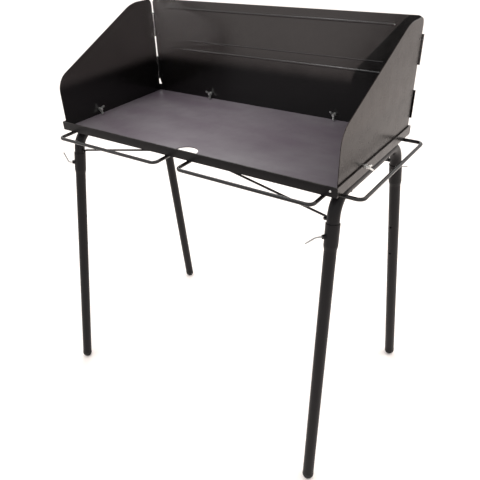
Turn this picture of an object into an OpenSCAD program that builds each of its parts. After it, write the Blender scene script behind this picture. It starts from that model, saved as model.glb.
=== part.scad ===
// Camp cook table for dutch ovens: a steel plate lying in a rimmed angle frame,
// a hinged three-sided windscreen, two folding U-shaped tube leg frames with
// push-on lower legs, wire braces and rod rails.
// Millimetres, +Z up, the floor is z = 0, the cook stands on the -Y side.

/* [Frame] */
// Outside width of the angle frame
frame_w = 914; // [880:1:950]
// Outside depth of the angle frame
frame_d = 456; // [440:1:480]
// Height of the rim's top edge above the floor
rim_top = 907; // [860:1:940]
// Height of the upright leg of the steel angle
rim_h = 25; // [24:0.5:27]
// Width of the flat leg of the steel angle
ledge_w = 25; // [22:1:30]
// Thickness of the steel angle
angle_t = 3; // [2.5:0.5:3.5]

/* [Cook plate] */
// Thickness of the loose cook plate
plate_t = 3; // [2:0.5:4]
// Play between the plate's edge and the rim
plate_gap = 3; // [2.75:0.25:4]
// Width of the finger notch in the plate's front edge
notch_w = 70; // [50:1:90]
// Depth of the finger notch
notch_depth = 65; // [45:1:80]
// Sideways place of the finger notch
notch_x = -6; // [-40:1:40]

/* [Windscreen] */
// Height of the windscreen above the rim
screen_h = 280; // [270:1:300]
// Thickness of the windscreen sheet
sheet_t = 1.5; // [1:0.25:2]
// Gap between the windscreen sheet and the rim
screen_gap = 1; // [0.75:0.25:1.25]
// Height of a side wing's front edge above the rim
wing_front_h = 121; // [100:1:140]
// Length of the level stretch at the top of a side wing
wing_top_l = 94; // [70:1:120]
// Depth of the stiffening beads on the back panel
bead_h = 1.6; // [1:0.2:2]
// Length of the stiffening beads
bead_l = 764; // [600:1:800]
// Length of a corner hinge
hinge_l = 75; // [60:1:80]
// Width of one hinge leaf
leaf_w = 14; // [12:1:20]

/* [Legs] */
// Outside diameter of the leg tube
tube_d = 31.8; // [30:0.2:33]
// Wall thickness of the leg tube
tube_wall = 2; // [1.5:0.25:2.5]
// Outward lean of a leg frame, in degrees
lean = 2.85; // [1:0.05:4]
// Outward splay of a leg within its frame, in degrees
splay = 8.75; // [6:0.05:10]
// Distance from the middle to a leg frame's cross tube
pivot_x = 437; // [432:1:440]
// Half the spread of the legs at the cross tube
corner_y = 189.5; // [180:0.5:195]
// Bend radius of the leg frame, on the tube's centre line
bend_r = 60; // [45:1:60]
// Outside diameter of the widened socket on a lower leg
socket_d = 36; // [35.6:0.1:37]
// Diameter of the foot cap
foot_d = 32.4; // [32:0.2:34]

/* [Rails and braces] */
// Diameter of the rail rod
rail_d = 9.5; // [7:0.5:10]
// Distance from the frame to a rail's centre line
rail_out = 49.75; // [40:0.25:60]
// Distance from the middle to the front left rail's inner arm
rail_in_l = 44.5; // [30:0.5:60]
// Distance from the middle to the front right rail's inner arm
rail_in_r = 30.5; // [25:0.5:60]
// Distance from the middle to a front rail's outer arm
rail_out_x = 421; // [380:1:430]
// Half the length of the side rail
side_rail_y = 196; // [170:1:200]
// Front-to-back place of the side rail's middle
side_rail_mid = -3; // [-10:1:10]
// Diameter of the brace rod
brace_d = 6; // [5:0.5:6]

/* [Hidden] */
$fn = 72;

black = [0.09, 0.085, 0.088];
plate_grey = [0.36, 0.33, 0.35];
zinc = [0.78, 0.78, 0.76];
cap_black = [0.05, 0.05, 0.05];

ledge_z = rim_top - rim_h;              // underside of the flat leg
plate_z = ledge_z + angle_t;            // underside of the plate
plate_top = plate_z + plate_t;
tube_r = tube_d/2;
bore_r = tube_r - tube_wall;
pivot_z = ledge_z - tube_r - 0.4;       // axis of a leg frame's cross tube
turn = 90 - splay;
bend_t = bend_r*tan(turn/2);            // from the bend's start to the sharp corner
slope = cos(splay)*cos(lean);
foot_r = foot_d/2;
foot_c = (pivot_z - foot_r + 1.2)/slope; // along the leg to the middle of the foot's dome
socket_r = socket_d/2;
socket_top = 66;                        // along the leg from the sharp corner
socket_end = 122.5;
stub_end = 121.5;
screw_s = 98;
foot_x = pivot_x + foot_c*cos(splay)*sin(lean);
// the frame's middle is set so that the whole table's box is centred on the origin
x_mid = -((frame_w/2 + rail_out + rail_d/2) - (foot_x + foot_r))/2;

screen_bottom = plate_top + 0.5;
screen_top = rim_top + screen_h;
wing_in = frame_w/2 - angle_t - screen_gap - sheet_t;   // inner face of a side wing
back_in = frame_d/2 - angle_t - screen_gap - sheet_t;   // inner face of the back panel
knuckle_r = 3.6;
hx = wing_in - 2.5;                      // hinge axis
hy = back_in - 2.5;
hinge_z = [rim_top + 22, rim_top + 162]; // lower ends of the hinges
screw_z = rim_top - 3;                  // axis of the wing screws
side_screw_y = -80;
back_screw_x = [-224, 232];

// brace: outer pivot on the leg's lug, inner foot in the guide's slot
lug_s = 58;
lug_x = pivot_x + lug_s*cos(splay)*sin(lean);
lug_y = corner_y + lug_s*sin(splay);
lug_z = pivot_z - lug_s*slope;
brace_x = lug_x - 20.4;
brace_y = lug_y - 8;
guide_x = 85;
guide_z = rim_top - 32;

// azimuth of each leg's screw, seen from above, the roll of its handle and how far it reaches out
az_fl = 233; roll_fl = 0;    reach_fl = 31;
az_fr = 233; roll_fr = 136;  reach_fr = 38;
az_rr = 107; roll_rr = 100;  reach_rr = 31;
az_rl = 73;  roll_rl = -100; reach_rl = 31;

function unit(v) = v/norm(v);
// outline with each corner rounded to its radius, n steps to an arc
function rounded(p, rad, n = 12) = [ for (i = [0:len(p)-1])
  let (a = p[(i+len(p)-1)%len(p)], c = p[i], b = p[(i+1)%len(p)],
       u = unit(a-c), v = unit(b-c), h = acos(u*v)/2, r = rad[i],
       s = c + u*(r/tan(h)), e = c + v*(r/tan(h)), m = c + unit(u+v)*(r/sin(h)),
       a0 = atan2(s[1]-m[1], s[0]-m[0]), a1 = atan2(e[1]-m[1], e[0]-m[0]),
       d0 = a1-a0, d = d0 > 180 ? d0-360 : d0 < -180 ? d0+360 : d0)
  for (k = [0:n]) m + r*[cos(a0+d*k/n), sin(a0+d*k/n)] ];

module at_mid() { translate([x_mid, 0, 0]) children(); }
module mx() { mirror([1,0,0]) children(); }
module my() { mirror([0,1,0]) children(); }

// ---- angle frame -------------------------------------------------------
module angle_bar(l) { // along X, outer face at y = 0, flat leg towards +Y
  translate([0, 0, ledge_z]) {
    linear_extrude(rim_h) polygon([[-l/2,0],[l/2,0],[l/2-angle_t,angle_t],[-l/2+angle_t,angle_t]]);
    linear_extrude(angle_t) polygon([[-l/2,0],[l/2,0],[l/2-ledge_w,ledge_w],[-l/2+ledge_w,ledge_w]]);
  }
}
module open_slot() { // drop-in slot from the rim's top edge, through along Y
  translate([0, -5, screw_z]) rotate([-90,0,0]) cylinder(r = 3.6, h = 12);
  translate([-3.6, -5, screw_z]) cube([7.2, 12, 10]);
}
rivet_x = frame_w/2 - 17.5;
rivet_z = rim_top - 11.4;
module frame_front() { color(black) at_mid() difference() {
  translate([0,-frame_d/2,0]) angle_bar(frame_w);
  translate([rivet_x, -frame_d/2-1, rivet_z]) rotate([-90,0,0]) cylinder(r = 1.8, h = 6);
} }
module frame_rear() { color(black) at_mid() difference() {
  my() translate([0,-frame_d/2,0]) angle_bar(frame_w);
  for (x = back_screw_x) translate([x, frame_d/2, 0]) rotate([0,0,180]) open_slot();
} }
module side_bar() { rotate([0,0,-90]) translate([0,-frame_w/2,0]) angle_bar(frame_d); }
module frame_left() { color(black) at_mid() difference() {
  side_bar();
  translate([-frame_w/2, side_screw_y, 0]) rotate([0,0,-90]) open_slot();
} }
module frame_right() { color(black) at_mid() difference() {
  mx() side_bar();
  translate([frame_w/2, side_screw_y, 0]) rotate([0,0,90]) open_slot();
} }
module rim_rivet() { color(zinc) at_mid()
  translate([rivet_x, -frame_d/2, rivet_z]) rotate([-90,0,0]) {
    cylinder(r = 1.7, h = angle_t + 1.2);
    translate([0,0,angle_t]) cylinder(r = 2.6, h = 1.2);
    translate([0,0,-1.3]) cylinder(r1 = 1.9, r2 = 2.8, h = 1.3);
  }
}

// ---- cook plate --------------------------------------------------------
pl_x = frame_w/2 - angle_t - plate_gap;
pl_y = frame_d/2 - angle_t - plate_gap;
module cook_plate() { color(plate_grey) at_mid() translate([0,0,plate_z]) difference() {
  linear_extrude(plate_t) polygon(rounded([[-pl_x,-pl_y],[pl_x,-pl_y],[pl_x,pl_y],[-pl_x,pl_y]], [3,3,3,3], 6));
  translate([notch_x, -pl_y + notch_depth - notch_w/2, -1]) cylinder(r = notch_w/2, h = plate_t + 2);
  translate([notch_x - notch_w/2, -pl_y - 5, -1]) cube([notch_w, notch_depth - notch_w/2 + 5, plate_t + 2]);
} }

// ---- rails -------------------------------------------------------------
rail_b = 16;
rail_z = ledge_z - rail_d/2 - 0.05;
module rail(w, depth) { // bar at y = -depth, arm ends at y = 0
  r = rail_d/2;
  for (s = [-1,1]) {
    translate([s*w/2, -(depth-rail_b), 0]) rotate([-90,0,0]) cylinder(r = r, h = depth-rail_b);
    translate([s*(w/2-rail_b), -(depth-rail_b), 0]) rotate([0,0, s > 0 ? -90 : 180])
      rotate_extrude(angle = 90) translate([rail_b,0]) circle(r);
  }
  translate([-(w/2-rail_b), -depth, 0]) rotate([0,90,0]) cylinder(r = r, h = w-2*rail_b);
}
rail_in = 12; // how far the arms reach in under the flat leg
module front_rail(x0, x1) { translate([(x0+x1)/2, -frame_d/2+rail_in, rail_z]) rail(x1-x0, rail_out+rail_in); }
module front_left_rail() { color(black) at_mid() front_rail(-rail_out_x, -rail_in_l); }
module front_right_rail() { color(black) at_mid() front_rail(rail_in_r, rail_out_x); }
module side_rail() { color(black) at_mid() translate([frame_w/2-12, side_rail_mid, rail_z]) rotate([0,0,90]) rail(2*side_rail_y, rail_out+12); }

// ---- leg frames and what carries them -----------------------------------
ledge_x = frame_w/2 - ledge_w; // inner edge of the flat leg
module pivot_plates() { for (s = [-1,1]) translate([0, s*118 + 2, 0]) rotate([90,0,0]) linear_extrude(4) difference() { // J-shaped hooks, welded to the flat leg's inner edge
  union() {
    intersection() {
      translate([pivot_x, pivot_z]) circle(r = 18.7);
      translate([pivot_x-30, pivot_z-30]) square([40, 30.5]);
    }
    translate([pivot_x-18.7, pivot_z]) square([ledge_x-0.03-pivot_x+18.7, plate_z-0.1-pivot_z]);
  }
  translate([pivot_x, pivot_z]) circle(r = tube_r + 0.2);
} }
module pivot_plates_right() { color(black) at_mid() pivot_plates(); }
module pivot_plates_left() { color(black) at_mid() mx() pivot_plates(); }

// a leg frame's own axes: origin on the cross tube's axis, leaning outward
module in_frame() { translate([pivot_x, 0, pivot_z]) rotate([0,-lean,0]) children(); }
// a leg's own axes: origin at the sharp corner, the leg runs along -Z
module in_leg() { in_frame() translate([0,-corner_y,0]) rotate([-splay,0,0]) children(); }
seam = 0.02; // the tube is drawn in straight and bent lengths
module tube(l) { difference() { // hollow, from z = 0 to z = l
  cylinder(r = tube_r, h = l);
  translate([0,0,-1]) cylinder(r = bore_r, h = l+2);
} }
module leg_stub() { in_leg() translate([0,0,-stub_end]) tube(stub_end-bend_t-seam); }
module lug() { // flat lug for a brace on the leg's inner side, cut to sit on the tube
  difference() {
    translate([0, -lug_y+1.5, 0]) rotate([90,0,0]) linear_extrude(3) difference() {
      union() {
        translate([brace_x, lug_z]) circle(r = 5);
        translate([brace_x, lug_z-5]) square([lug_x-tube_r+4-brace_x, 10]);
      }
      translate([brace_x, lug_z]) circle(r = brace_d/2 + 0.2);
    }
    in_leg() translate([0,0,-stub_end-20]) cylinder(r = tube_r-0.5, h = stub_end);
  }
}
module leg_frame() {
  in_frame() {
    translate([0, -(corner_y-bend_t-seam), 0]) rotate([-90,0,0]) tube(2*(corner_y-bend_t-seam));
    for (s = [0,1]) mirror([0,s,0]) translate([0, -(corner_y-bend_t), -bend_r])
      rotate(a = 180, v = [1,0,1]) difference() {
        rotate_extrude(angle = turn) translate([bend_r,0]) circle(r = tube_r);
        rotate([0,0,-5]) rotate_extrude(angle = turn+10) translate([bend_r,0]) circle(r = bore_r);
      }
  }
  for (s = [0,1]) mirror([0,s,0]) { leg_stub(); lug(); }
}
module leg_frame_right() { color(black) at_mid() leg_frame(); }
module leg_frame_left() { color(black) at_mid() mx() leg_frame(); }

// ---- braces ------------------------------------------------------------
brace_b = 6; // bend radius at a brace's ends
module brace() { // bent rod: pin end in the lug, foot end in the guide
  r = brace_d/2; v = [guide_x-brace_x, guide_z-lug_z]; l = norm(v);
  translate([brace_x, -brace_y, lug_z]) rotate([0, 180 + atan2(v[1], -v[0]), 0]) {
    translate([0,-13.5,0]) rotate([-90,0,0]) cylinder(r = r, h = 13.5-brace_b);
    translate([brace_b,-brace_b,0]) rotate([0,0,90]) rotate_extrude(angle = 90) translate([brace_b,0]) circle(r);
    translate([brace_b,0,0]) rotate([0,90,0]) cylinder(r = r, h = l-2*brace_b);
    translate([l-brace_b,brace_b,0]) rotate([0,0,-90]) rotate_extrude(angle = 90) translate([brace_b,0]) circle(r);
    translate([l,brace_b,0]) rotate([-90,0,0]) cylinder(r = r, h = 9);
  }
}
module brace_front_right() { color(black) at_mid() brace(); }
module brace_rear_right() { color(black) at_mid() my() brace(); }
module brace_front_left() { color(black) at_mid() mx() brace(); }
module brace_rear_left() { color(black) at_mid() my() mx() brace(); }
web_y = brace_y - 8;
module brace_guide() { for (s = [-1,1]) translate([s*(guide_x-24.3), 0, 0]) difference() { // tab under the flat leg with a slotted web hanging from it
  union() {
    translate([-34, -frame_d/2+13, ledge_z-2.5]) cube([68, frame_d/2-13-web_y+2.5, 2.5]);
    translate([-34, -web_y, ledge_z-21]) cube([68, 2.5, 20]);
  }
  translate([-28.2, -web_y-1, guide_z-11.2]) cube([56.4, 5, 15.2]);
} }
module brace_guide_front() { color(black) at_mid() brace_guide(); }
module brace_guide_rear() { color(black) at_mid() my() brace_guide(); }

// ---- lower legs --------------------------------------------------------
tube_end = foot_c - 6;
module lower_leg(az) { difference() {
  rotate_extrude() polygon([[socket_r,-socket_top],[socket_r,-socket_end],[tube_r,-socket_end-12],[tube_r,-tube_end],
    [bore_r,-tube_end],[bore_r,-socket_end-5],[tube_r+0.25,-socket_end+0.4],[tube_r+0.25,-socket_top]]);
  translate([0,0,-screw_s]) rotate([0,0,az]) rotate([0,90,0]) cylinder(r = 2.4, h = 30);
  for (d = [283,387]) translate([0,0,-d]) rotate([0,0,az+150]) rotate([0,90,0]) cylinder(r = 3.8, h = 30);
} }
module leg_nut(az) { translate([0,0,-screw_s]) rotate([0,0,az]) difference() {
  translate([socket_r-3,0,0]) rotate([0,90,0]) cylinder(r = 6.2, h = 10, $fn = 6);
  translate([0,0,-20]) cylinder(r = socket_r, h = 40);
  rotate([0,90,0]) cylinder(r = 2.4, h = 60);
} }
module leg_screw(az, roll, reach) { translate([0,0,-screw_s]) rotate([0,0,az]) rotate([roll,0,0]) { // bent rod
  translate([tube_r+0.4,0,0]) rotate([0,90,0]) cylinder(r = 2.1, h = reach+0.6-tube_r-0.4);
  translate([reach,0,7]) rotate(a = 120, v = [1,1,-1]) rotate_extrude(angle = 65) translate([7,0]) circle(r = 1.95);
  translate([reach,0,7] + 7*[sin(65),0,-cos(65)]) rotate([0,25,0]) translate([0,0,-0.6]) {
    cylinder(r = 2.1, h = 30);
    translate([0,0,30]) cylinder(r1 = 2.1, r2 = 1.3, h = 1.2);
  }
} }
module foot() { // cap with a plug in the tube; its dome is flat where it stands
  rotate_extrude() polygon([[0,-foot_c+30],[bore_r-0.15,-foot_c+30],[bore_r-0.15,-foot_c+6],[foot_r,-foot_c+6],[foot_r,-foot_c],[0,-foot_c]]);
  intersection() {
    translate([0,0,-foot_c]) sphere(r = foot_r);
    translate([0,0,-foot_c-30]) cylinder(r = 30, h = 31);
  }
}
module on_floor() { difference() { children(); translate([-800,-800,-50]) cube([1600,1600,50]); } }
module fl() { at_mid() mx() in_leg() mx() children(); }
module fr() { at_mid() in_leg() children(); }
module rl() { at_mid() mx() my() in_leg() my() mx() children(); }
module rr() { at_mid() my() in_leg() my() children(); }
module lower_leg_fl() { color(black) fl() lower_leg(az_fl); }
module lower_leg_fr() { color(black) fr() lower_leg(az_fr); }
module lower_leg_rl() { color(black) rl() lower_leg(az_rl); }
module lower_leg_rr() { color(black) rr() lower_leg(az_rr); }
module leg_nut_fl() { color(black) fl() leg_nut(az_fl); }
module leg_nut_fr() { color(black) fr() leg_nut(az_fr); }
module leg_nut_rl() { color(black) rl() leg_nut(az_rl); }
module leg_nut_rr() { color(black) rr() leg_nut(az_rr); }
module leg_screw_fl() { color(zinc) fl() leg_screw(az_fl, roll_fl, reach_fl); }
module leg_screw_fr() { color(zinc) fr() leg_screw(az_fr, roll_fr, reach_fr); }
module leg_screw_rl() { color(zinc) rl() leg_screw(az_rl, roll_rl, reach_rl); }
module leg_screw_rr() { color(zinc) rr() leg_screw(az_rr, roll_rr, reach_rr); }
module foot_fl() { color(cap_black) on_floor() fl() foot(); }
module foot_fr() { color(cap_black) on_floor() fr() foot(); }
module foot_rl() { color(cap_black) on_floor() rl() foot(); }
module foot_rr() { color(cap_black) on_floor() rr() foot(); }

// ---- windscreen --------------------------------------------------------
panel_gap = 1.2;     // from a hinge's axis to a panel's edge
notch_gap = 3.4;     // the same where the panel is cut back for the hinge's barrel
leaf_gap = 3.75;     // from a hinge's axis to a leaf's edge
hole_gap = 11;       // from a hinge's axis to the rivets
leaf_t = 1.2;
back_x = hx + 0.8;
backing_t = 1.5;     // strips behind the back panel, one to a hinge
backing_x = wing_in + sheet_t + 4;
leaf_holes = [10, 65];
module back_panel() { color(black) at_mid() difference() {
  union() {
    translate([0, back_in+sheet_t, 0]) rotate([90,0,0]) linear_extrude(sheet_t)
      polygon(rounded([[-back_x,plate_z+0.3],[back_x,plate_z+0.3],[back_x,screen_top],[-back_x,screen_top]], [46,46,15,15], 14));
    for (z = [254.5, 130]) translate([0, 0, rim_top+z]) bead(4, bead_l);
    translate([0, 0, rim_top+159]) bead(3, bead_l-40);
  }
  for (s = [-1,1], z = hinge_z) {
    translate([s*(hx-notch_gap+10)-10, back_in-3, z-0.6]) cube([20, 8, hinge_l+1.2]);
    for (d = leaf_holes) translate([s*(hx-hole_gap), back_in-3, z+d]) rotate([-90,0,0]) cylinder(r = 2.1, h = 10);
  }
  for (x = back_screw_x) translate([x, back_in-3, screw_z]) rotate([-90,0,0]) cylinder(r = 3.3, h = 10);
} }
module bead(r, l) { // round-topped bead pressed into the sheet, its ends run out
  h = r < 4 ? bead_h/2 : bead_h;
  intersection() {
    translate([0, back_in+r-h, 0]) union() {
      translate([-(l/2-r), 0, 0]) rotate([0,90,0]) cylinder(r = r, h = l-2*r);
      for (s = [-1,1]) translate([s*(l/2-r), 0, 0]) sphere(r);
    }
    translate([-l, back_in-10, -10]) cube([2*l, 10+sheet_t-0.2, 20]);
  }
}
wing_f = -frame_d/2 + 9;
wing_r = hy - panel_gap;
module wing() { difference() {
  translate([wing_in,0,0]) rotate([90,0,90]) linear_extrude(sheet_t)
    polygon(rounded([[wing_f,screen_bottom],[wing_r,screen_bottom],[wing_r,screen_top],[wing_r-wing_top_l,screen_top],[wing_f,rim_top+wing_front_h]],
      [8,10,20,130,58], 14));
  for (z = hinge_z) {
    translate([wing_in-3, hy-notch_gap, z-0.6]) cube([8, 20, hinge_l+1.2]);
    for (d = leaf_holes) translate([wing_in-3, hy-hole_gap, z+d]) rotate([0,90,0]) cylinder(r = 2.1, h = 10);
  }
} }
module right_wing() { color(black) at_mid() wing(); }
module left_wing() { color(black) at_mid() difference() {
  mx() wing();
  translate([-wing_in-5, side_screw_y, screw_z]) rotate([0,90,0]) cylinder(r = 3.3, h = 10);
} }

// hinges: the wing's leaf holds the middle knuckle, the back's leaf the outer two
kn = hinge_l/3;
module wing_leaf(z) { difference() {
  union() {
    translate([wing_in-leaf_t, hy-leaf_gap-leaf_w, z]) cube([leaf_t, leaf_w, hinge_l]);
    translate([wing_in-leaf_t, hy-leaf_gap-0.5, z+kn+0.2]) cube([leaf_t, leaf_gap-0.7, kn-0.4]);
    translate([hx,hy,z+kn+0.2]) cylinder(r = knuckle_r, h = kn-0.4);
  }
  translate([hx,hy,z]) cylinder(r = 1.6, h = hinge_l);
  for (d = leaf_holes) translate([wing_in-3, hy-hole_gap, z+d]) rotate([0,90,0]) cylinder(r = 2.1, h = 10);
} }
module back_leaf(z) { difference() {
  union() {
    translate([hx-leaf_gap-leaf_w, back_in-leaf_t, z]) cube([leaf_w, leaf_t, hinge_l]);
    for (k = [0,2]) {
      translate([hx-leaf_gap-0.5, back_in-leaf_t, z+k*kn+(k > 0 ? 0.2 : 0)]) cube([leaf_gap-0.7, leaf_t, kn-0.2]);
      translate([hx,hy,z+k*kn+(k > 0 ? 0.2 : 0)]) cylinder(r = knuckle_r, h = kn-0.2);
    }
  }
  translate([hx,hy,z-1]) cylinder(r = 1.6, h = hinge_l+2);
  for (d = leaf_holes) translate([hx-hole_gap, back_in-3, z+d]) rotate([-90,0,0]) cylinder(r = 2.1, h = 10);
} }
module back_hinge_leaves() { color(black) at_mid() for (s = [0,1], z = hinge_z) mirror([s,0,0]) back_leaf(z); }
module right_hinge_leaves() { color(black) at_mid() for (z = hinge_z) wing_leaf(z); }
module left_hinge_leaves() { color(black) at_mid() mx() for (z = hinge_z) wing_leaf(z); }
module hinge_pins() { color(zinc) at_mid() for (s = [0,1], z = hinge_z) mirror([s,0,0]) translate([hx,hy,z]) {
  translate([0,0,-0.3]) cylinder(r = 1.5, h = hinge_l+0.6);
  translate([0,0,hinge_l+0.3]) cylinder(r1 = 2.3, r2 = 1.6, h = 1.6);
  translate([0,0,-1.3]) cylinder(r = 2.2, h = 1);
} }
module rivet(a, b) { // along +X: head at x = -a, tail at x = b
  translate([-a,0,0]) rotate([0,90,0]) cylinder(r = 2, h = a+b);
  translate([-a-1.4,0,0]) rotate([0,90,0]) cylinder(r1 = 2.2, r2 = 3.6, h = 1.4);
  translate([b,0,0]) rotate([0,90,0]) cylinder(r1 = 3.2, r2 = 2, h = 1);
}
module wing_rivets() { for (z = hinge_z, d = leaf_holes) translate([wing_in, hy-hole_gap, z+d]) rivet(leaf_t, sheet_t); }
module right_hinge_rivets() { color(black) at_mid() wing_rivets(); }
module left_hinge_rivets() { color(black) at_mid() mx() wing_rivets(); }
module back_hinge_rivets() { color(black) at_mid() for (s = [0,1], z = hinge_z, d = leaf_holes) mirror([s,0,0])
  translate([hx-hole_gap, back_in, z+d]) rotate([0,0,90]) rivet(leaf_t, sheet_t+backing_t); }
module hinge_backing() { color(black) at_mid() for (s = [0,1], z = hinge_z) mirror([s,0,0]) difference() { // takes the rivets and covers the corner's gap
  translate([hx-hole_gap-7, back_in+sheet_t, z]) cube([backing_x-hx+hole_gap+7, backing_t, hinge_l]);
  for (d = leaf_holes) translate([hx-hole_gap, back_in, z+d]) rotate([-90,0,0]) cylinder(r = 2.1, h = 10);
} }

// ---- wing screws -------------------------------------------------------
nut_h = 5;
module nut() { rotate([0,90,0]) difference() { cylinder(r = 5.8, h = nut_h, $fn = 6); translate([0,0,-1]) cylinder(r = 3.2, h = nut_h+2); } }
module wing_screw(tip) { // along X: wings towards +X, seat at x = 0
  translate([-tip,0,0]) rotate([0,90,0]) cylinder(r = 2.9, h = tip+1);
  rotate([0,90,0]) cylinder(r1 = 4.8, r2 = 3.8, h = 8);
  for (s = [0,1]) mirror([0,0,s]) translate([0,0.9,0]) rotate([90,0,0]) linear_extrude(1.8)
    polygon(rounded([[1,2.6],[7,2.6],[14.5,8.6],[15.5,14.4],[10.5,14.4],[1.5,6]], [0.4,0.4,2.4,2.2,2.4,1.5], 5));
}
// places: on the back panel, on the left wing, and through the rim on the right
module at_back(i) { at_mid() translate([back_screw_x[i], back_in, screw_z]) rotate([0,0,-90]) children(); }
module at_left() { at_mid() translate([-wing_in, side_screw_y, screw_z]) children(); }
module at_right() { at_mid() translate([frame_w/2, side_screw_y, screw_z]) children(); }
back_tip = nut_h + 0.3 + sheet_t + screen_gap + angle_t + 5;
module screen_nuts_back() { color(zinc) for (i = [0,1]) at_back(i) nut(); }
module screen_nut_left() { color(zinc) at_left() nut(); }
module rim_nut_right() { color(zinc) at_right() nut(); }
module wing_screw_back_left() { color(zinc) at_back(0) translate([nut_h+0.3,0,0]) rotate([35,0,0]) wing_screw(back_tip); }
module wing_screw_back_right() { color(zinc) at_back(1) translate([nut_h+0.3,0,0]) rotate([28,0,0]) wing_screw(back_tip); }
module wing_screw_left() { color(zinc) at_left() translate([nut_h+0.3,0,0]) rotate([-25,0,0]) wing_screw(back_tip); }
module wing_screw_right() { color(zinc) at_right() translate([nut_h+0.3,0,0]) rotate([40,0,0]) wing_screw(nut_h+0.3+angle_t+screen_gap-0.3); }

frame_front();
frame_rear();
frame_left();
frame_right();
rim_rivet();
cook_plate();
front_left_rail();
front_right_rail();
side_rail();
pivot_plates_left();
pivot_plates_right();
brace_guide_front();
brace_guide_rear();
leg_frame_left();
leg_frame_right();
brace_front_left();
brace_rear_left();
brace_front_right();
brace_rear_right();
lower_leg_fl();
lower_leg_fr();
lower_leg_rl();
lower_leg_rr();
leg_nut_fl();
leg_nut_fr();
leg_nut_rl();
leg_nut_rr();
leg_screw_fl();
leg_screw_fr();
leg_screw_rl();
leg_screw_rr();
foot_fl();
foot_fr();
foot_rl();
foot_rr();
back_panel();
left_wing();
right_wing();
back_hinge_leaves();
left_hinge_leaves();
right_hinge_leaves();
hinge_pins();
hinge_backing();
back_hinge_rivets();
left_hinge_rivets();
right_hinge_rivets();
screen_nuts_back();
screen_nut_left();
rim_nut_right();
wing_screw_back_left();
wing_screw_back_right();
wing_screw_left();
wing_screw_right();
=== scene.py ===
import math

import bmesh
import bpy
from mathutils import Matrix, Vector


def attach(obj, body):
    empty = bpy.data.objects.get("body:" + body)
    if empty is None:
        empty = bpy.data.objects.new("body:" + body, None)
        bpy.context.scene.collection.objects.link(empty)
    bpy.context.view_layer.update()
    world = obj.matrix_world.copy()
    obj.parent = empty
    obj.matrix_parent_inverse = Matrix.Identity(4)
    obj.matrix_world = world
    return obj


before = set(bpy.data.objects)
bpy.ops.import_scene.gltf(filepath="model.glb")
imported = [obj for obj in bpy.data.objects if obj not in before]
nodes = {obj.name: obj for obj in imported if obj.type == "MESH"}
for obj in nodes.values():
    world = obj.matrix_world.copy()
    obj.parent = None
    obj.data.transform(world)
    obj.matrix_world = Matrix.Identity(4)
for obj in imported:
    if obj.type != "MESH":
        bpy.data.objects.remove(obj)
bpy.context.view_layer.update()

# ---- sizes shared with the CAD model, in metres ------------------------------
X0 = -0.007974823          # the angle frame's middle
FRAME_W, FRAME_D, RIM_TOP, RIM_H = 0.914, 0.456, 0.907, 0.025
LEDGE_Z = RIM_TOP - RIM_H


def P(x, y, z):
    """A point given from the frame's middle, front and rim as in the CAD model, in mm."""
    return Vector((x / 1000 + X0, y / 1000, z / 1000))


# ---- materials ---------------------------------------------------------------
class Mat:
    def __init__(self, name):
        self.m = bpy.data.materials.new(name)
        self.m.use_nodes = True
        self.t = self.m.node_tree
        self.b = self.t.nodes["Principled BSDF"]

    def n(self, kind, **kw):
        node = self.t.nodes.new(kind)
        for k, v in kw.items():
            if k in node.inputs.keys():
                node.inputs[k].default_value = v
            else:
                setattr(node, k, v)
        return node

    def link(self, a, b):
        self.t.links.new(a, b)

    def coords(self):
        return self.n("ShaderNodeTexCoord").outputs["Object"]

    def noise(self, co, scale, detail=3.0, rough=0.55):
        k = self.n("ShaderNodeTexNoise", Scale=scale, Detail=detail, Roughness=rough)
        self.link(co, k.inputs["Vector"])
        return k.outputs["Fac"]

    def ramp(self, fac, stops):
        r = self.n("ShaderNodeValToRGB")
        e = r.color_ramp.elements
        while len(e) < len(stops):
            e.new(0.5)
        for i, (p, c) in enumerate(stops):
            e[i].position = p
            e[i].color = (c[0], c[1], c[2], 1) if isinstance(c, (tuple, list)) else (c, c, c, 1)
        self.link(fac, r.inputs["Fac"])
        return r.outputs["Color"]

    def span(self, fac, lo, hi, a=0.3, b=0.7):
        k = self.n("ShaderNodeMapRange")
        for name, v in (("From Min", a), ("From Max", b), ("To Min", lo), ("To Max", hi)):
            k.inputs[name].default_value = v
        self.link(fac, k.inputs["Value"])
        return k.outputs["Result"]

    def mix(self, fac, a, b):
        k = self.n("ShaderNodeMix", data_type="RGBA")
        for sock, v in ((k.inputs[0], fac), (k.inputs[6], a), (k.inputs[7], b)):
            if isinstance(v, bpy.types.NodeSocket):
                self.link(v, sock)
            else:
                sock.default_value = v if not isinstance(v, (tuple, list)) else (*v, 1)
        return k.outputs[2]

    def bump(self, height, strength, distance, normal=None):
        k = self.n("ShaderNodeBump", Strength=strength, Distance=distance)
        self.link(height, k.inputs["Height"])
        if normal is not None:
            self.link(normal, k.inputs["Normal"])
        self.link(k.outputs["Normal"], self.b.inputs["Normal"])
        return k.outputs["Normal"]


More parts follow.
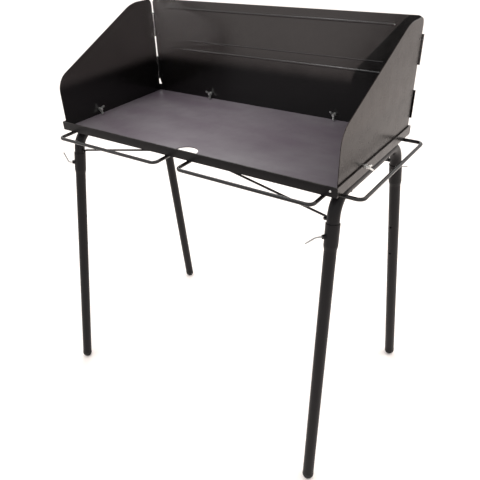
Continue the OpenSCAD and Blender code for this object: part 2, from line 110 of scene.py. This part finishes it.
def paint(name, base, wear_and_highlight, rough, spec, peel=0.05, top=None, scuff=0.10, tint=None):
    """Black shop paint: fine orange peel, a slow drift in gloss, thin scuffs, and, where top is given, a lighter band
    just under that height that is a painted edge highlight mixed with rubbed wear.
    """
    k = Mat(name)
    co = k.coords()
    slow = k.noise(co, 7.0, 3.0)
    cloud = k.noise(co, 31.0, 3.0, 0.5)
    fine = k.noise(co, 620.0, 2.0)
    flow = k.n("ShaderNodeMapping")
    flow.inputs["Scale"].default_value = (18.0, 18.0, 240.0)
    flow.inputs["Rotation"].default_value = (0.35, 0.2, 0.9)
    k.link(co, flow.inputs["Vector"])
    lines = k.noise(flow.outputs["Vector"], 1.0, 4.0, 0.65)
    col = k.ramp(slow, [(0.30, base), (0.70, [c * 1.22 for c in base])])
    col = k.mix(k.span(lines, 0.0, scuff, 0.66, 0.84), col, wear_and_highlight)
    if top is not None:
        # painted edge highlight with rubbed wear: the lighter worn colour, broken up by noise, in a band 0.2 to 2.2 mm
        # under the top height
        sep = k.n("ShaderNodeSeparateXYZ")
        k.link(co, sep.inputs["Vector"])
        edge_highlight_and_wear_band = k.span(sep.outputs["Z"], 0.0, 1.0, top - 0.0022, top - 0.0002)
        edge_highlight_and_wear_mask = k.n("ShaderNodeMath", operation="MULTIPLY")
        k.link(edge_highlight_and_wear_band, edge_highlight_and_wear_mask.inputs[0])
        k.link(k.span(cloud, 0.15, 0.75, 0.40, 0.62), edge_highlight_and_wear_mask.inputs[1])
        col = k.mix(edge_highlight_and_wear_mask.outputs[0], col, wear_and_highlight)
    k.link(col, k.b.inputs["Base Color"])
    k.link(k.span(cloud, rough - 0.03, rough + 0.04), k.b.inputs["Roughness"])
    k.b.inputs["Specular IOR Level"].default_value = spec
    if tint is not None:
        k.b.inputs["Specular Tint"].default_value = (*tint, 1)
    k.bump(fine, peel, 0.0003)
    return k.m


def plate_steel():
    """Dark grey satin plate: rolled grain along X, faint heat clouding, hairline rub marks."""
    k = Mat("plate_satin")
    co = k.coords()
    cloud = k.noise(co, 4.0, 3.0)
    blot = k.noise(co, 17.0, 4.0, 0.6)
    stretch = k.n("ShaderNodeMapping")
    stretch.inputs["Scale"].default_value = (7.0, 260.0, 60.0)
    k.link(co, stretch.inputs["Vector"])
    grain = k.noise(stretch.outputs["Vector"], 2.0, 4.0, 0.6)
    turned = k.n("ShaderNodeMapping")
    turned.inputs["Scale"].default_value = (90.0, 11.0, 60.0)
    turned.inputs["Rotation"].default_value = (0.0, 0.0, 0.5)
    k.link(co, turned.inputs["Vector"])
    hair = k.noise(turned.outputs["Vector"], 2.0, 5.0, 0.7)
    fine = k.noise(co, 540.0, 3.0, 0.6)
    drift = k.n("ShaderNodeMapping")
    drift.inputs["Scale"].default_value = (3.0, 9.0, 3.0)
    drift.inputs["Rotation"].default_value = (0.0, 0.0, -0.45)
    k.link(co, drift.inputs["Vector"])
    smear = k.noise(drift.outputs["Vector"], 1.6, 4.0, 0.5)
    col = k.ramp(cloud, [(0.30, PLATE_LO), (0.70, PLATE_HI)])
    col = k.mix(k.span(smear, 0.0, 0.55, 0.50, 0.72), col, [PLATE_HI[0] * 1.12, PLATE_HI[1] * 1.16, PLATE_HI[2] * 1.13])
    col = k.mix(k.span(smear, 0.45, 0.0, 0.30, 0.48), col, [PLATE_LO[0] * 0.92, PLATE_LO[1] * 0.84, PLATE_LO[2] * 0.91])
    col = k.mix(k.span(blot, 0.0, 0.30, 0.46, 0.74), col, [c * 0.82 for c in PLATE_LO])
    col = k.mix(k.span(grain, 0.0, 0.16, 0.54, 0.80), col, [c * 1.45 for c in PLATE_HI])
    col = k.mix(k.span(hair, 0.0, 0.20, 0.68, 0.82), col, [c * 1.8 for c in PLATE_HI])
    k.link(col, k.b.inputs["Base Color"])
    k.link(k.span(blot, 0.36, 0.44), k.b.inputs["Roughness"])
    k.b.inputs["Specular IOR Level"].default_value = PLATE_SPEC
    k.bump(fine, 0.06, 0.0003)
    return k.m


def zinc(name, lo, hi, r0, r1):
    k = Mat(name)
    co = k.coords()
    spang = k.n("ShaderNodeTexVoronoi", Scale=420.0)
    k.link(co, spang.inputs["Vector"])
    slow = k.noise(co, 60.0, 4.0)
    col = k.ramp(slow, [(0.3, lo), (0.7, hi)])
    k.link(col, k.b.inputs["Base Color"])
    k.b.inputs["Metallic"].default_value = 1.0
    k.link(k.span(spang.outputs["Distance"], r0, r1, 0.0, 0.8), k.b.inputs["Roughness"])
    k.bump(slow, 0.08, 0.0003)
    return k.m


def cap_plastic():
    k = Mat("cap_plastic")
    co = k.coords()
    slow = k.noise(co, 40.0, 4.0)
    grit = k.noise(co, 700.0, 2.0)
    k.link(k.ramp(slow, [(0.3, (0.008, 0.008, 0.008)), (0.7, (0.018, 0.017, 0.017))]), k.b.inputs["Base Color"])
    k.link(k.span(slow, 0.50, 0.64), k.b.inputs["Roughness"])
    k.b.inputs["Specular IOR Level"].default_value = 0.2
    k.bump(grit, 0.2, 0.0004)
    return k.m


PLATE_LO, PLATE_HI, PLATE_SPEC = (0.086, 0.0705, 0.0840), (0.116, 0.1025, 0.1130), 0.28
M_FRAME = paint("frame_paint", (0.0052, 0.0045, 0.0050), (0.050, 0.046, 0.044), 0.36, 0.16, top=0.907)
# side flanges: a lighter, warmer, glossier copy of the frame paint, painted light for the bright light the right flange
# catches from the right
M_FRAME_LIT_SIDES = paint("side_paint", (0.0075, 0.0066, 0.0064), (0.050, 0.046, 0.044), 0.27, 0.26, top=0.907, tint=(1.0, 0.84, 0.78))
M_TUBE = paint("tube_paint", (0.0070, 0.0062, 0.0067), (0.034, 0.032, 0.031), 0.38, 0.15)
M_ROD = paint("rod_paint", (0.0040, 0.0036, 0.0038), (0.030, 0.028, 0.027), 0.17, 0.42)
M_SHEET = paint("sheet_paint", (0.0030, 0.0026, 0.0026), (0.011, 0.010, 0.010), 0.20, 0.37, peel=0.03, top=1.187)
# right wing: a lighter, warmer copy of the sheet paint, painted light for the warm light its outer face catches from
# the right
M_SHEET_LIT_RIGHT = paint("sheet_paint_lit_right", (0.0050, 0.0038, 0.0033), (0.016, 0.013, 0.012), 0.26, 0.17, peel=0.03, top=1.187, tint=(1.0, 0.82, 0.74))
M_PLATE = plate_steel()
M_ZINC = zinc("zinc_plate", (0.62, 0.62, 0.60), (0.84, 0.84, 0.82), 0.26, 0.46)
M_ROD_ZINC = zinc("zinc_rod", (0.30, 0.30, 0.30), (0.46, 0.46, 0.45), 0.28, 0.44)
M_CAP = cap_plastic()
M_WELD = paint("weld_paint", (0.0060, 0.0055, 0.0055), (0.040, 0.037, 0.036), 0.40, 0.20, peel=0.10)

ROLE = {}
for name in nodes:
    if name in ("frame_left", "frame_right"):
        ROLE[name] = M_FRAME_LIT_SIDES
    elif name.startswith("frame_") or name.startswith("pivot_") or name.startswith("brace_guide"):
        ROLE[name] = M_FRAME
    elif name.startswith("lower_leg") or name.startswith("leg_frame") or name.startswith("leg_nut"):
        ROLE[name] = M_TUBE
    elif name.endswith("_rail") or name.startswith("brace_"):
        ROLE[name] = M_ROD
    elif name == "right_wing":
        ROLE[name] = M_SHEET_LIT_RIGHT
    elif name in ("back_panel", "left_wing") or "hinge_leaves" in name or "hinge_rivets" in name or name == "hinge_backing":
        ROLE[name] = M_SHEET
    elif name == "cook_plate":
        ROLE[name] = M_PLATE
    elif name.startswith("foot_"):
        ROLE[name] = M_CAP
    elif name.startswith("leg_screw"):
        ROLE[name] = M_ROD_ZINC
    else:
        ROLE[name] = M_ZINC
for name, mat in ROLE.items():
    o = nodes[name]
    o.data.materials.clear()
    o.data.materials.append(mat)

# ---- weld beads --------------------------------------------------------------
def bead(bm, pts, r, closed=False, sides=10):
    """A rippled weld bead along a path of points in metres, with its ends drawn in."""
    step = 0.0006
    path = []
    run = pts + pts[:1] if closed else pts
    for a, b in zip(run, run[1:]):
        n = max(1, round((b - a).length / step))
        path += [a.lerp(b, i / n) for i in range(n)]
    if not closed:
        path.append(run[-1])
    m = len(path)
    rings = []
    for i, c in enumerate(path):
        t = (path[(i + 1) % m] - path[i - 1]) if closed else (path[min(i + 1, m - 1)] - path[max(i - 1, 0)])
        t.normalize()
        side = t.cross(Vector((0.31, 0.22, 0.93))).normalized()
        over = t.cross(side)
        grow = 0.86 + 0.22 * abs(math.sin(math.pi * i * step / 0.0023)) + 0.05 * math.sin(i * 1.7)
        if not closed:
            grow *= min(1.0, 0.35 + min(i, m - 1 - i) * step / 0.0016)
        rings.append([bm.verts.new(c + (side * math.cos(2 * math.pi * k / sides) + over * math.sin(2 * math.pi * k / sides)) * r * grow)
                      for k in range(sides)])
    for i in range(m if closed else m - 1):
        a, b = rings[i], rings[(i + 1) % m]
        for k in range(sides):
            bm.faces.new((a[k], a[(k + 1) % sides], b[(k + 1) % sides], b[k]))
    if not closed:
        bm.faces.new(rings[0][::-1])
        bm.faces.new(rings[-1])


def piece(name, bm, mat, body):
    bmesh.ops.recalc_face_normals(bm, faces=bm.faces)
    for f in bm.faces:
        f.smooth = True
    me = bpy.data.meshes.new(name)
    bm.to_mesh(me)
    bm.free()
    me.materials.append(mat)
    o = bpy.data.objects.new(name, me)
    bpy.context.scene.collection.objects.link(o)
    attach(o, body)
    return o


bm = bmesh.new()
for sx in (-1, 1):
    for sy in (-1, 1):      # outer edge of each mitre
        bead(bm, [P(sx * 456.7, sy * 227.7, 883.2), P(sx * 456.7, sy * 227.7, 905.4)], 0.0009)
for x in (-421, -44.5, 30.5, 421):      # front rails under the ledge
    for d in (-4.1, 4.1):
        bead(bm, [P(x + d, -227.0, 880.9), P(x + d, -217.0, 880.9)], 0.0013)
for y in (-199, 193):       # side rail under the ledge
    for d in (-4.1, 4.1):
        bead(bm, [P(456.0, y + d, 880.9), P(446.0, y + d, 880.9)], 0.0013)
for sx in (-1, 1):          # brace guides under the ledge
    for sy in (-1, 1):
        c = sx * 60.7
        bead(bm, [P(c - 32, sy * 215.7, 881.1), P(c + 32, sy * 215.7, 881.1)], 0.0012)
        for d in (-34.7, 34.7):
            bead(bm, [P(c + d, sy * 214.0, 881.1), P(c + d, sy * 204.5, 881.1)], 0.0012)
piece("frame_welds", bm, M_WELD, "frame")

LEAN, SPLAY = math.radians(2.85), math.radians(8.75)
IN_LEG = (Matrix.Translation((437.0, 0.0, 865.7)) @ Matrix.Rotation(-LEAN, 4, "Y")
          @ Matrix.Translation((0.0, -189.5, 0.0)) @ Matrix.Rotation(-SPLAY, 4, "X"))
for leg, az, mx, my in (("fl", 233, -1, 1), ("fr", 233, 1, 1), ("rr", 107, 1, -1), ("rl", 73, -1, -1)):
    flip = Matrix.Diagonal((mx, my, 1, 1))
    er = Vector((math.cos(math.radians(az)), math.sin(math.radians(az)), 0))
    et = Vector((-er.y, er.x, 0))
    loop = []
    for i in range(48):     # round the nut, on the socket's skin
        a = 2 * math.pi * i / 48
        side = 6.6 * math.cos(a)
        q = er * math.sqrt(18.0 ** 2 - side ** 2) + et * side + Vector((0, 0, -98.0 + 6.6 * math.sin(a)))
        loop.append(P(*(flip @ IN_LEG @ flip @ q)))
    bm = bmesh.new()
    bead(bm, loop, 0.0009, closed=True, sides=8)
    piece("nut_weld_" + leg, bm, M_WELD, "leg_" + leg)

# ---- stage, light and camera -------------------------------------------------
def stage_floor():
    k = Mat("floor")
    co = k.coords()
    k.link(k.ramp(k.noise(co, 0.7, 2.0), [(0.3, (0.965, 0.905, 0.870)), (0.7, (0.98, 0.92, 0.885))]), k.b.inputs["Base Color"])
    k.b.inputs["Roughness"].default_value = 0.9
    k.b.inputs["Specular IOR Level"].default_value = 0.1
    bm = bmesh.new()
    bmesh.ops.create_grid(bm, x_segments=4, y_segments=4, size=14.0)
    me = bpy.data.meshes.new("floor")
    bm.to_mesh(me)
    bm.free()
    me.materials.append(k.m)
    o = bpy.data.objects.new("floor", me)
    bpy.context.scene.collection.objects.link(o)


def stage_card():
    """Dark studio card beside the camera, out of the picture: the back panel's right end mirrors it."""
    k = Mat("card")
    co = k.coords()
    k.link(k.ramp(k.noise(co, 6.0, 2.0), [(0.3, (0.010, 0.009, 0.009)), (0.7, (0.016, 0.015, 0.015))]), k.b.inputs["Base Color"])
    k.b.inputs["Roughness"].default_value = 0.9
    k.b.inputs["Specular IOR Level"].default_value = 0.1
    bm = bmesh.new()
    bm.faces.new([bm.verts.new((x, -1.2514, z)) for x, z in
                  [(-0.425, 0.534), (0.10, 0.534), (0.10, 1.02), (-0.193, 1.02), (-0.223, 0.926), (-0.263, 0.799), (-0.336, 0.680)]])
    me = bpy.data.meshes.new("card")
    bm.to_mesh(me)
    bm.free()
    me.materials.append(k.m)
    o = bpy.data.objects.new("card", me)
    o.visible_camera = False
    o.visible_diffuse = False
    o.visible_shadow = False
    bpy.context.scene.collection.objects.link(o)


stage_floor()
stage_card()

world = bpy.data.worlds.new("studio")
bpy.context.scene.world = world
world.use_nodes = True
wt = world.node_tree
bg = wt.nodes["Background"]
co = wt.nodes.new("ShaderNodeTexCoord")
sep = wt.nodes.new("ShaderNodeSeparateXYZ")
wt.links.new(co.outputs["Generated"], sep.inputs["Vector"])
mr = wt.nodes.new("ShaderNodeMapRange")
mr.inputs["From Min"].default_value = -1.0
mr.inputs["From Max"].default_value = 1.0
wt.links.new(sep.outputs["Y"], mr.inputs["Value"])
wr = wt.nodes.new("ShaderNodeValToRGB")
wr.color_ramp.elements[0].position = 0.0
wr.color_ramp.elements[0].color = (0.90, 0.90, 0.90, 1)
wr.color_ramp.elements[1].position = 0.9
wr.color_ramp.elements[1].color = (1.0, 0.99, 0.98, 1)
wt.links.new(mr.outputs["Result"], wr.inputs["Fac"])
wt.links.new(wr.outputs["Color"], bg.inputs["Color"])
bg.inputs["Strength"].default_value = 1.05


def area(name, loc, target, size, power, size_y=None, color=(1, 1, 1), spread=None):
    d = bpy.data.lights.new(name, "AREA")
    d.energy = power
    d.size = size
    d.color = color
    if spread:
        d.spread = math.radians(spread)
    if size_y:
        d.shape = "RECTANGLE"
        d.size_y = size_y
    o = bpy.data.objects.new(name, d)
    o.location = loc
    o.rotation_euler = (Vector(target) - Vector(loc)).to_track_quat("-Z", "Y").to_euler()
    bpy.context.scene.collection.objects.link(o)


sun = bpy.data.lights.new("wash", "SUN")
sun.energy = 0.9
sun.angle = math.radians(120)
so = bpy.data.objects.new("wash", sun)
so.rotation_euler = (math.radians(12), math.radians(-10), 0)
bpy.context.scene.collection.objects.link(so)
# lights the floor that the right wing and the right side of the frame mirror
area("right_floor", (1.75, 1.45, 2.3), (1.75, 1.45, 0.0), 2.2, 24, color=(1.0, 0.90, 0.84))
# soft box that the front of the plate mirrors over the back panel
area("plate_sheen", (-1.63, 1.95, 2.60), (-0.05, -0.12, 0.888), 1.5, 26, size_y=1.1)

# small soft box over the plate, to the left: it also draws the lines of light along the back panel's beads
area("plate_top", (-0.52, -0.26, 2.60), (-0.10, 0.08, 0.888), 0.35, 0.78, spread=32.0)
# gridded strip light low in front: grazes the upper part of the windscreen's inner faces
BEAM = Vector((-0.40, 1.0, 0.0)).normalized()
BEAM_AIM = Vector((-0.03, 0.2225, RIM_TOP + 0.101 + 0.20))
area("front_strip", BEAM_AIM - BEAM * 2.6, BEAM_AIM, 1.7, 15, size_y=0.40, color=(1.0, 0.94, 0.91), spread=1.0)
# the same for the left wing alone
SIDE_BEAM = Vector((-0.75, 1.0, 0.0)).normalized()
SIDE_AIM = Vector((-0.468, -0.02, RIM_TOP + 0.101 + 0.20))
area("left_strip", SIDE_AIM - SIDE_BEAM * 2.6, SIDE_AIM, 0.30, 2.4, size_y=0.40, color=(1.0, 0.94, 0.91), spread=1.0)

# camera: fitted to the table's straight edges in the photo
YAW, PITCH, ROLL = (math.radians(a) for a in (37.84, 33.83, -3.27))
F_PX, PPX, PPY = 543.85, 216.49, 263.98
fw = Vector((-math.sin(YAW) * math.cos(PITCH), math.cos(YAW) * math.cos(PITCH), -math.sin(PITCH)))
rt = Vector((math.cos(YAW), math.sin(YAW), 0))
up = rt.cross(fw)
rt2 = rt * math.cos(ROLL) + up * math.sin(ROLL)
up2 = up * math.cos(ROLL) - rt * math.sin(ROLL)
cd = bpy.data.cameras.new("photo_camera")
cd.sensor_width = 36.0
cd.sensor_fit = "HORIZONTAL"
cd.lens = F_PX * 36.0 / 480.0
cd.shift_x = (240.0 - PPX) / 480.0
cd.shift_y = (PPY - 240.0) / 480.0
cam = bpy.data.objects.new("photo_camera", cd)
m = Matrix.Identity(4)
for i in range(3):
    m[i][0], m[i][1], m[i][2] = rt2[i], up2[i], -fw[i]
m.translation = Vector((0.9019 + X0, -1.0234 - 0.228, 0.5432 + RIM_TOP))
cam.matrix_world = m
bpy.context.scene.collection.objects.link(cam)
bpy.context.scene.camera = cam
bpy.context.scene.view_settings.view_transform = "Standard"
